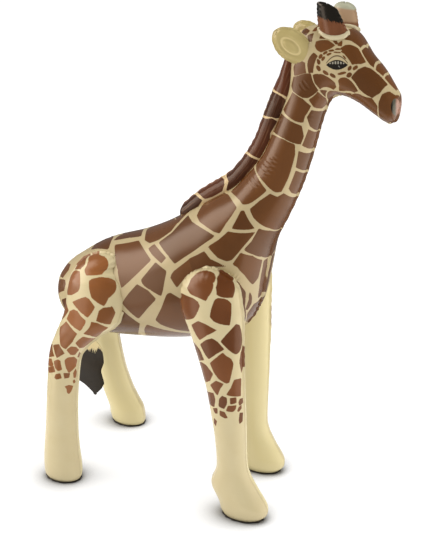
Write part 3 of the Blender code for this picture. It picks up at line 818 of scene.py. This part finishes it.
# Paler lengthwise streaks and a paler strip along the outer ridge: painted highlights.
color = mix.blend(patch * mix.step(gloss_streaks, 0.52, 0.72) * 0.55, color, srgb(136, 94, 66))
color = mix.blend(patch * mix.step(around * 1000, 5.0, 2.5) * 0.6, color, srgb(150, 108, 84))
mix.shader.inputs["Specular IOR Level"].default_value = 0.28
attach(mane, "mane", mix.finish(color, None, mix.noise(80, 2), 0.06))

# Horns. Each is a short tube of two panels, flat at the tip, that leans out. The outer panel is
# printed brown with a black tip, the inner one pale, and a cream lip welds the foot to the head.
HORN_FOOT, HORN_SINK = (202, 18), 20
HORN_LEAN = {"right": (-11, 16, 56), "left": (-4, 15, 50)}
HORN_TIP_SLOPE = {"right": 0.3, "left": 0.08}
HORN_FOOT_SIZE, HORN_TIP_SIZE, HORN_TIP_CAP = (26, 15), (18, 7), 8
HORN_COLUMNS, HORN_ROWS = 72, (70, 16)
CROWN_STATIONS = 8
HORN_RIM, HORN_PUCKERS, HORN_LEAST = (0.0016, 0.0006), (0.007, 0.004, 0.0004), 0.004
HORN_LIP, LIP_MIDDLE, LIP_HALF = 0.0030, 0.0020, 0.0032
# Heights up the horn, in millimetres: where black starts outside, and the pale print's edges inside
BLACK_FROM, PALE_FROM, WHITE_FROM = 21, (10, 15), (30, 34)


def horn_slices(hand, lean, tip_slope):
    """The slices of one horn from its foot under the crown to its sloping tip."""
    crown = BODY_STATIONS[-CROWN_STATIONS:]
    top = np.interp(HORN_FOOT[0], [row[2] for row in crown], [row[3] for row in crown])
    foot = place(HORN_FOOT[0], hand * HORN_FOOT[1], top - HORN_SINK)
    reach = np.array((lean[0], hand * lean[1], lean[2])) * UNIT
    share = np.linspace(0, 1, HORN_ROWS[0])[:, None]
    along = HORN_FOOT_SIZE[0] + (HORN_TIP_SIZE[0] - HORN_FOOT_SIZE[0]) * share**2
    over = HORN_FOOT_SIZE[1] + (HORN_TIP_SIZE[1] - HORN_FOOT_SIZE[1]) * share**2
    zero = 0 * share
    across = np.hstack([along, zero, -along * tip_slope * share]) * UNIT
    slices = np.hstack([foot + reach * share, across, np.hstack([zero, over * hand, zero]) * UNIT, zero + 2.0])
    pole = foot + reach * (1 + HORN_TIP_CAP * UNIT / np.linalg.norm(reach))
    return ease(np.vstack([slices, dome(slices[-1], pole, HORN_ROWS[1])]), 6), (foot, pole)


def horn_vinyl():
    """Brown film with a brushed black tip outside, pale film inside and a cream lip at the foot."""
    mix = Mixer("horn_vinyl", 0.22)
    up, outer = mix.attribute("up"), mix.attribute("outer")
    around = mix.attribute("around")
    teeth = mix.noise(1.0, 2, 0.7, mix.node("ShaderNodeCombineXYZ", {}, (around * 420, 0.0, up * 0.5)))
    tip = mix.step(up * 1000 + (teeth - 0.5) * 22 - BLACK_FROM, -0.8, 0.8)
    brown = mix.blend(mix.noise(40, 2), srgb(112, 68, 42), srgb(92, 52, 28))
    print_out = mix.blend(tip, brown, srgb(14, 14, 10))
    pale = mix.blend(mix.step(up * 1000, *PALE_FROM), srgb(112, 76, 52), srgb(160, 132, 104))
    pale = mix.blend(mix.step(up * 1000, *WHITE_FROM), pale, srgb(166, 166, 144))
    color = mix.blend(mix.step(outer, -0.05, 0.05), pale, print_out)
    lip = mix.step(mix.attribute("off") * 1000, 5.4, 5.0)
    return mix.finish(mix.blend(lip, color, srgb(190, 178, 146)), None, mix.noise(120, 2), 0.08)


horn_material = horn_vinyl()
for hand, side_name in ((-1, "right"), (1, "left")):
    slices, poles = horn_slices(hand, HORN_LEAN[side_name], HORN_TIP_SLOPE[side_name])
    grid, normals, places, angles = cover(slices, HORN_COLUMNS, HORN_LEAST)
    edge = rim_gap(places)
    height = weld(edge, *HORN_RIM) + puckers(places[..., 0], edge, *HORN_PUCKERS)
    off, _ = seat_on(body_tree, grid.copy(), poles)
    lip = HORN_LIP * np.sqrt(np.clip(1 - ((off - LIP_MIDDLE) / LIP_HALF) ** 2, 0, 1))
    up = places[..., 0] - (HORN_SINK - 4) * UNIT
    facts = {"up": up, "outer": np.sin(angles), "around": places[..., 1], "off": off}
    horn = blow_up("horn_%s_tube" % side_name, (grid, normals), height + lip, poles, facts)
    attach(horn, "horn_" + side_name, horn_material)

# Ears. Each is a flat leaf of two cream panels welded round the rim, with an oval weld inside that
# pinches the leaf, and is gathered at its root behind the horns.
EAR_STATION, EAR_ROOT_SHARES, EAR_REACH = 16.66, (0.1, 0.76), (-69, 13, 49)
EAR_HALF_WIDTH, EAR_HALF_THICKNESS, EAR_SKEW, EAR_BLUNTNESS = 26, 10, 1.2, 0.55
EAR_COLUMNS, EAR_ROWS = 96, 84
EAR_OVAL_SHARE, EAR_OVAL_SIZE, EAR_OVAL_SINK, EAR_OVAL_RIDGE = 0.56, (0.0100, 0.0175), 0.0022, 0.0006
EAR_SINK_REACH, EAR_RIDGE_REACH = 0.0028, 0.0013
EAR_RIM, EAR_PUCKERS, EAR_LEAST = (0.0018, 0.0006), (0.009, 0.005, 0.0003), 0.003


def ear_slices(hand):
    """The slices of one ear from root to tip."""
    row = body_at(EAR_STATION)
    middle, up = (row[:2] + row[2:4]) / 2, (row[2:4] - row[:2]) / 2 * EAR_ROOT_SHARES[0]
    root = place(middle[0] + up[0], row[4] * EAR_ROOT_SHARES[1] * hand, middle[1] + up[1])
    reach = np.array((EAR_REACH[0], hand * EAR_REACH[1], EAR_REACH[2])) * UNIT
    length = np.linalg.norm(reach)
    along = reach / length
    flat = np.array((0, hand, 0)) - along * along[1] * hand
    flat /= np.linalg.norm(flat)
    wide = np.cross(along, flat)
    turn = np.linspace(0, math.pi, EAR_ROWS + 2)[1:-1, None]
    share = (1 - np.cos(turn)) / 2
    swell = UNIT * np.sin(math.pi * share**EAR_SKEW) ** EAR_BLUNTNESS
    halves = wide * EAR_HALF_WIDTH * swell, flat * EAR_HALF_THICKNESS * swell
    slices = np.hstack([root + reach * share, *halves, 0 * share + 2.0])
    return slices, (root, root + reach), share * length, length


def ear_vinyl():
    """Cream film, a little uneven in tone, with a paler line where the oval is welded, a painted highlight on its
    ridge.
    """
    mix = Mixer("ear_vinyl", 0.26)
    tint = mix.blend(mix.step(mix.noise(22, 2), 0.3, 0.7), srgb(176, 160, 108), srgb(162, 146, 96))
    line = mix.step(mix.attribute("pinch") * 1000, 0.12, 0.5)
    # The paler line is a painted highlight along the welded ridge.
    color = mix.blend(line * 0.7, tint, srgb(202, 184, 134))
    return mix.finish(color, None, mix.noise(90, 2), 0.06)


ear_material = ear_vinyl()
for hand, side_name in ((-1, "right"), (1, "left")):
    slices, poles, along, length = ear_slices(hand)
    grid, normals, places, _ = cover(slices, EAR_COLUMNS, EAR_LEAST)
    edge = rim_gap(places)
    wide, thick = (np.linalg.norm(slices[:, k:k + 3], axis=1)[:, None] for k in (3, 6))
    across = ((grid - slices[:, None, :3]) * slices[:, None, 3:6]).sum(-1) / wide
    oval = np.hypot(across / EAR_OVAL_SIZE[0], (along - EAR_OVAL_SHARE * length) / EAR_OVAL_SIZE[1])
    ring_gap = np.abs(oval - 1) * EAR_OVAL_SIZE[0]
    pinch = EAR_OVAL_RIDGE * np.exp(-((ring_gap / EAR_RIDGE_REACH) ** 2))
    sink = EAR_OVAL_SINK * np.exp(-((ring_gap / EAR_SINK_REACH) ** 2)) * np.sqrt(thick / thick.max())
    height = weld(edge, *EAR_RIM) - sink + pinch + puckers(places[..., 0], edge, *EAR_PUCKERS)
    ear = blow_up("ear_%s_leaf" % side_name, (grid, normals), height, poles, {"pinch": pinch})
    attach(ear, "ear_" + side_name, ear_material)

# Legs. Each is a tube of two panels welded at the front and the rear, flattened against the body
# where it is welded on. The outer panel is printed down to the knee, the inner one is plain cream.
# Rows: height, rear edge x, front edge x, half thickness, in drawing units.
FRONT_LEG_ROWS = (
    (4, 24, 108, 27), (12, 19, 116, 31), (27, 15, 117, 33), (42, 7, 108, 33), (56, -1, 98, 32),
    (70, -1, 89, 31), (88, 7, 79, 30), (112, 12, 73, 29), (168, 9, 72, 30), (212, 3, 72, 31),
    (265, -5, 71, 33), (312, -17, 71, 35), (376, -38, 70, 37), (424, -57, 70, 38), (458, -56, 65, 36),
)
REAR_LEG_ROWS = (
    (4, -364, -288, 28), (12, -367, -285, 33), (33, -368, -286, 35), (66, -367, -290, 33), (110, -363, -293, 31),
    (165, -359, -293, 31), (220, -355, -290, 32), (267, -352, -285, 34), (297, -346, -269, 36), (328, -333, -238, 38),
    (357, -321, -200, 39), (384, -315, -188, 39), (415, -312, -183, 38), (440, -307, -191, 36), (464, -296, -213, 30),
)
FRONT_LEG_TOP, REAR_LEG_TOP = (6, 509), (-240, 490)
# How each leg stands: height, shift in x, distance of its middle from the giraffe's mid plane
LEG_POSES = {
    "front_right": ((0, 8, 100), (60, 7, 97), (300, 0, 97), (530, 0, 101)),
    "front_left": ((0, -35, 84), (66, -34, 88), (300, -31, 98), (530, -30, 101)),
    "rear_right": ((0, 0, 130), (200, 0, 120), (380, 0, 102), (440, 0, 92), (480, 0, 74), (510, 0, 58)),
    "rear_left": (
        (0, 0, 142), (40, -4, 142), (80, -23, 142), (130, -37, 138), (215, -51, 128), (330, -38, 110),
        (380, -25, 97), (440, -12, 79), (470, -9, 54), (490, -7, 32),
    ),
}
SOLE_THICKNESS, SOLE_RIM, SOLE_GAP = 0.003, 0.0015, 0.0003
LEG_COLUMNS, LEG_ROWS = 128, (320, 48)
LEG_LEAST, FIN_LOW, FIN_HIGH = 0.006, 0.0007, 0.0026
# Gathers at the side welds and round the top: spacing, reach, depth. Heights are in metres.
LEG_PUCKERS, TOP_PUCKERS, TOP_ROUND = (0.021, 0.01, 0.0004), (0.0098, 0.009, 0.0010), 0.045
FOOT_FADE, HIGH_FROM, GATHERS_FROM = (0.006, 0.01), (0.16, 0.14), (-0.07, 0.03)
FRONT_LEG_PATCHES = (
    (187, 288, 191, 279.5, 196, 274, 201, 271.3, 208, 271, 213, 272.5, 215.3, 276.5, 213, 283, 208, 297, 206,
     300.8, 199, 298, 190, 293.5),
    (219.5, 269.5, 226, 270.5, 230, 274.5, 233, 281, 232.8, 297.5, 222, 297.5, 216.7, 295, 216, 288, 217,
     278),
    (172, 294, 178, 293, 183, 293.7, 193, 298, 198, 302, 199.7, 306, 197, 313, 194, 317.7, 190, 319.3, 185,
     319.3, 178, 313, 172, 304),
    (215, 299.5, 218, 298.2, 224, 298.8, 229, 300.7, 231.2, 304, 229.5, 325, 222, 324.8, 214, 321.7, 210.2,
     317, 211, 311),
    (191.5, 325, 198, 321, 205, 324, 216.5, 330.5, 207, 335.3, 199.5, 340, 195, 333),
    (220.5, 341.5, 228, 333, 236, 324, 239.5, 325, 242, 335, 242.3, 343, 239.5, 352, 236, 354.3, 230, 351.3),
    (200.3, 344.5, 206, 340, 212, 338.6, 217, 341.5, 224, 349.3, 216, 354, 208.7, 359, 205, 354),
    (210, 363, 217, 357.3, 222.5, 352.5, 226, 356, 231, 359, 233.3, 363.5, 231.3, 375, 229.2, 382.5, 226.5,
     383.7, 219, 379.3, 214, 372.5),
    (197, 362, 202, 362.3, 206, 365, 213, 374, 210, 380.7, 206, 382, 200, 376),
    (190, 340, 196, 344.5, 200, 350, 204, 360, 196, 361),
    (210.3, 385, 216, 380.7, 223.5, 384, 220, 389, 217.5, 395.5, 213, 389.5),
    (226.3, 394.7, 231, 388, 234.3, 379.8, 241.3, 378.2, 240.7, 396, 231, 396),
    (239.3, 362, 240.8, 353, 243.5, 345, 244, 366, 241.5, 373),
    (206, 391, 213.5, 393, 215.3, 400, 214.3, 407, 206, 402),
    (219.3, 399, 222, 396, 226.8, 397.7, 226.8, 404, 224, 409, 218.7, 406.3),
    (230.3, 398.2, 236.3, 397.6, 236.3, 402.7, 230.3, 404.7),
    (228, 406, 236.3, 405.2, 235.7, 409, 233, 411.8, 226, 411),
    (240, 399, 243, 398, 243, 402.5, 239.3, 405.5, 238.7, 402.5),
    (239, 407, 241.5, 405, 241.5, 408.5, 238.7, 411.8, 237.2, 411.3),
    (219.8, 410.7, 224.5, 412, 227.5, 418, 225, 418.3, 219.8, 415.3),
    (239.8, 413, 243, 412.6, 242.5, 421, 239.5, 424, 238.8, 420),
    (213, 408.3, 217.3, 408, 217.3, 413.3, 215, 413.3),
    (214, 418, 217, 421, 215.7, 426, 214, 423),
)
REAR_LEG_PATCHES = (
    (86, 275.3, 88.3, 261, 92.3, 253.7, 99, 252, 104.7, 256.7, 106.3, 270, 102, 274.2),
    (72.8, 268, 80, 257.8, 87.5, 252, 91, 251, 85.2, 264, 81, 269),
    (71, 271.7, 76, 270.5, 79.8, 271.5, 80, 287, 78, 291.2, 72, 294.8, 67.5, 294.5, 67, 291, 69, 280),
    (88.7, 281.3, 92, 279, 101, 277, 110, 278, 115.3, 280.7, 116.3, 288, 115, 291.7, 108, 298.3, 104, 306, 97,
     302.5, 91, 297.3, 89.3, 290),
    (72.5, 302, 80, 298.6, 86, 297, 89.3, 299.7, 94.5, 307, 92.7, 311.3, 88, 317.7, 84, 314.8, 78, 309.3),
    (96.5, 321, 98.8, 311, 103, 308, 110, 307, 112, 306, 115.2, 313, 112.3, 320.3, 110, 324.3, 103, 323.4),
    (66.7, 318.5, 69.8, 311.3, 73.5, 309.5, 77.2, 311.2, 80.3, 316, 86, 321, 83.2, 327, 80, 331, 73, 326.3),
    (56, 320, 60, 300, 64.7, 298, 68.7, 310.5, 61.5, 320),
    (83.2, 333.7, 91, 322, 97, 323, 108, 327.5, 103, 331.3, 97, 337, 90, 335.4),
    (60.3, 327, 66, 321.5, 68.2, 323.8, 77, 334, 72, 342.3, 66, 349, 61, 346.3, 59.7, 337),
    (75.6, 343, 83, 336.6, 95.4, 338.2, 88, 344.3, 84, 347.3, 79.8, 348),
    (66.7, 349.7, 71, 346.6, 76, 347, 79, 350, 75, 354.9, 71, 354.9),
    (53.3, 345, 59, 344.2, 62.2, 350, 64.4, 353.5, 57, 358, 54.8, 352),
    (46, 345, 52.5, 344, 54.3, 356.3, 46, 357),
    (64.7, 360, 68, 357.5, 74, 357, 77.4, 360, 76.2, 366.2, 71, 371.4, 69, 373, 66.2, 368),
    (53.8, 361, 58, 359.5, 60.3, 361, 62, 369.7, 58, 371, 55.2, 368),
    (46, 358.5, 51.5, 358.5, 53.4, 365, 52, 366.5, 46, 364),
    (47, 367.5, 53.5, 366, 55.3, 371.7, 49, 372.6),
    (55.7, 374.3, 60, 373.5, 61.5, 378.2, 56, 379.4, 54.6, 377.6),
    (63.7, 373, 70, 373, 69, 377.8, 64.7, 378.4),
    (75.5, 368.5, 76.9, 372, 75.7, 377.6, 73.8, 377.6, 73.3, 373),
    (74.3, 379.3, 75.5, 382, 73.7, 383.4, 73, 381),
    (64.7, 386.3, 69, 385, 73, 386, 71.4, 391.2, 69, 394, 67.2, 392.7, 66.8, 388.6),
    (77.5, 357, 79.5, 352, 80.8, 354, 79, 357.5),
)


def leg_slices(rows, top, hand, pose):
    """The slices of one leg from the sole to its round top, its poles, and its lowest slice."""
    rows = flow(rows, np.linspace(0, len(rows) - 1, LEG_ROWS[0]))
    rows[0, 0] = (SOLE_THICKNESS + SOLE_GAP) / UNIT
    heights, shifts, offsets = zip(*pose)
    shift, offset = np.interp(rows[:, 0], heights, shifts), np.interp(rows[:, 0], heights, offsets)
    centre = np.array(MIDDLE) + points((rows[:, 1] + rows[:, 2]) / 2 + shift, hand * offset, rows[:, 0])
    across, side = points((rows[:, 2] - rows[:, 1]) / 2, 0.0, 0.0), points(0.0, hand * rows[:, 3], 0.0)
    slices = np.hstack([centre, across, side, np.full((len(rows), 1), 2.0)])
    shift, offset = np.interp(top[1], heights, shifts), np.interp(top[1], heights, offsets)
    pole = place(top[0] + shift, hand * offset, top[1])
    foot = slices[0].copy()
    slices = ease(np.vstack([slices, dome(slices[-1], pole, LEG_ROWS[1])]), 10)
    return slices, (foot[:3], pole), foot


def leg_vinyl(name, brown, deep):
    """Cream film, printed with red brown patches outside, a little yellower inside."""
    mix, color, patch = printed_vinyl(name, srgb(200, 187, 149), brown, deep)
    plain = mix.blend(mix.noise(9, 2), srgb(212, 200, 154), srgb(204, 190, 142))
    color = mix.blend(mix.step(mix.attribute("outer"), -0.04, 0.0), plain, color)
    return mix.finish(color, None, mix.noise(60, 3), 0.05)


# The rear legs' brown is a lighter copy of the front legs' brown: painted light on the haunches.
leg_materials = {
    "front": leg_vinyl("front_leg_vinyl", srgb(114, 65, 30), srgb(90, 48, 18)),
    "rear": leg_vinyl("rear_leg_vinyl_lit", srgb(140, 86, 46), srgb(114, 68, 32)),
}
feet = {}
prints = {}
for name, rows, top, patches in (
    ("front_right", FRONT_LEG_ROWS, FRONT_LEG_TOP, FRONT_LEG_PATCHES),
    ("front_left", FRONT_LEG_ROWS, FRONT_LEG_TOP, FRONT_LEG_PATCHES),
    ("rear_right", REAR_LEG_ROWS, REAR_LEG_TOP, REAR_LEG_PATCHES),
    ("rear_left", REAR_LEG_ROWS, REAR_LEG_TOP, REAR_LEG_PATCHES),
):
    hand = -1 if "right" in name else 1
    slices, poles, feet[name] = leg_slices(rows, top, hand, LEG_POSES[name])
    grid, normals, places, angles = cover(slices, LEG_COLUMNS, LEG_LEAST)
    if hand < 0:
        find = print_finder(grid, normals, places, np.sin(angles) >= -1e-6)
        prints[rows] = trace(find, patches)
    leg_print = patch_depth(places, prints[rows], LEG_BLEED)
    edge = rim_gap(places)
    off, _ = seat_on(body_tree, grid.copy(), poles)
    middle, z = slices[-LEG_ROWS[1], :3], grid[..., 2]
    turn = np.arctan2(z - middle[2], grid[..., 0] - middle[0]) * TOP_ROUND
    foot_fade, high, gathered = (
        np.clip((level - start) / rise, 0, 1)
        for level, (start, rise) in ((z, FOOT_FADE), (z, HIGH_FROM), (z - middle[2], GATHERS_FROM))
    )
    height = weld(edge, 1) * foot_fade * (FIN_LOW + (FIN_HIGH - FIN_LOW) * high)
    height += puckers(places[..., 0], edge, *LEG_PUCKERS) * (0.3 + 0.7 * high)
    height += puckers(turn, np.maximum(off, 0), *TOP_PUCKERS) * gathered
    facts = {**leg_print, "outer": np.sin(angles)}
    leg = blow_up("leg_%s_tube" % name, (grid, normals), height, poles, facts, SOLE_THICKNESS + SOLE_GAP)
    attach(leg, "leg_" + name, leg_materials[name.split("_")[0]])

# Soles. A flat disc of black film closes each foot. It is welded round the edge, where the leg's
# film is gathered, so its rim shows as a thin dark line that rises into small scallops.
SCALLOPS = 11
SCALLOP_DEPTH = 0.0006
SOLE_SEGMENTS, SOLE_ROUNDING = 152, 0.0007


def sole_vinyl():
    """Black film, dull from the floor."""
    mix = Mixer("sole_vinyl", 0.42)
    dust = mix.step(mix.noise(55, 4, 0.6), 0.45, 0.8)
    black = mix.blend(dust * 0.35, srgb(26, 24, 21), srgb(58, 52, 44))
    return mix.finish(black, 0.36 + dust * 0.3, mix.noise(200, 2), 0.1)


sole_material = sole_vinyl()
for name, foot in feet.items():
    bm = bmesh.new()
    bmesh.ops.create_cone(bm, cap_ends=True, segments=SOLE_SEGMENTS, radius1=1, radius2=1, depth=SOLE_THICKNESS)
    rim = [edge for edge in bm.edges if abs(edge.verts[0].co.z - edge.verts[1].co.z) < 1e-6]
    bmesh.ops.bevel(bm, geom=rim, offset=SOLE_ROUNDING, affect="EDGES", segments=2, profile=0.5, material=-1)
    across, side = np.linalg.norm(foot[3:6]), np.linalg.norm(foot[6:9])
    for vert in bm.verts:
        turn = math.atan2(vert.co.y, vert.co.x)
        flat = math.hypot(vert.co.x, vert.co.y)
        flat = 1 - (1 - flat) / across if flat > 0.9 else flat
        wave = SCALLOP_DEPTH * math.cos(SCALLOPS * turn + 1.3 * math.sin(3 * turn)) * (flat > 0.5)
        vert.co.x = foot[0] + math.cos(turn) * flat * (across + SOLE_RIM + wave)
        vert.co.y = foot[1] + math.sin(turn) * flat * (side + SOLE_RIM + wave)
        vert.co.z += SOLE_THICKNESS / 2
    sole = settle("sole_%s_disc" % name, bm)
    sole.data.shade_smooth()
    attach(sole, "sole_" + name, sole_material)

# Tail. A flat strip of doubled film, welded into the rump, that widens to a black tuft with cream
# locks printed at its top. It hangs straight down behind the rear legs and curls a little.
TAIL_ROWS = (
    (385, -380, -366), (360, -386, -366), (330, -385, -366), (290, -376, -356), (264, -369, -343),
    (256, -367, -316), (246, -367, -306), (234, -369, -302), (211, -373, -301), (205, -374, -302),
    (191, -372, -306), (176, -369, -303), (163, -367, -300), (157, -366, -303), (150, -350, -306), (140, -335, -315),
    (135, -329, -320),
)
TAIL_TIP, TAIL_ROOT, TAIL_LOCKS = (-324, 130), (-373, 388), 0.219
TAIL_THICKNESS, TAIL_BOXINESS = 0.0016, 5.0
TAIL_COLUMNS = 72


def tail_vinyl():
    """Cream film that ends in pointed locks over the black film of the tuft."""
    mix = Mixer("tail_vinyl", 0.3)
    mix.shader.inputs["Specular IOR Level"].default_value = 0.35
    x, y, z = mix.split(mix.coordinates)
    teeth = mix.noise(1.0, 3, 0.75, mix.node("ShaderNodeCombineXYZ", {}, (x * 240, 0.0, z * 16)))
    lock = mix.step((z - TAIL_LOCKS) * 1000 + (teeth - 0.5) * 52, -1.2, 1.2)
    black = mix.blend(mix.noise(35, 3), srgb(20, 19, 16), srgb(32, 30, 26))
    color = mix.blend(lock, black, srgb(214, 198, 152))
    return mix.finish(color, 0.28 + mix.noise(25, 2) * 0.12, mix.noise(45, 3, 0.6), 0.25, 0.002)


rows = flow(TAIL_ROWS, np.linspace(0, len(TAIL_ROWS) - 1, 150))
centre = np.array(MIDDLE) + points((rows[:, 1] + rows[:, 2]) / 2, 0.0, rows[:, 0])
across = points((rows[:, 2] - rows[:, 1]) / 2, 0.0, 0.0)
side = points(0 * rows[:, 0], TAIL_THICKNESS / 2 / UNIT, 0.0)
slices = np.hstack([centre, across, side, np.full((len(rows), 1), TAIL_BOXINESS)])
tip, top = place(TAIL_TIP[0], 0, TAIL_TIP[1]), place(TAIL_ROOT[0], 0, TAIL_ROOT[1])
slices = np.vstack([slices, dome(slices[-1], tip, 10)])
grid = skin(slices, np.tile(np.arange(TAIL_COLUMNS) * 2 * math.pi / TAIL_COLUMNS, (len(slices), 1)))
fall = (grid[..., 2] - tip[2]) / UNIT
sway = 0.0016 * np.sin(fall / 11) * np.exp(-(((fall - 80) / 30) ** 2))
sway += 0.0010 * np.sin(fall / 31 + grid[..., 0] * 60)
grid[..., 1] += sway * np.clip(fall / 20, 0, 1) * (grid[..., 2] < 0.24)
seat_on(body_tree, grid, (top, tip))
tail = wrap("tail_film", grid, (top, tip))
attach(tail, "tail", tail_vinyl())
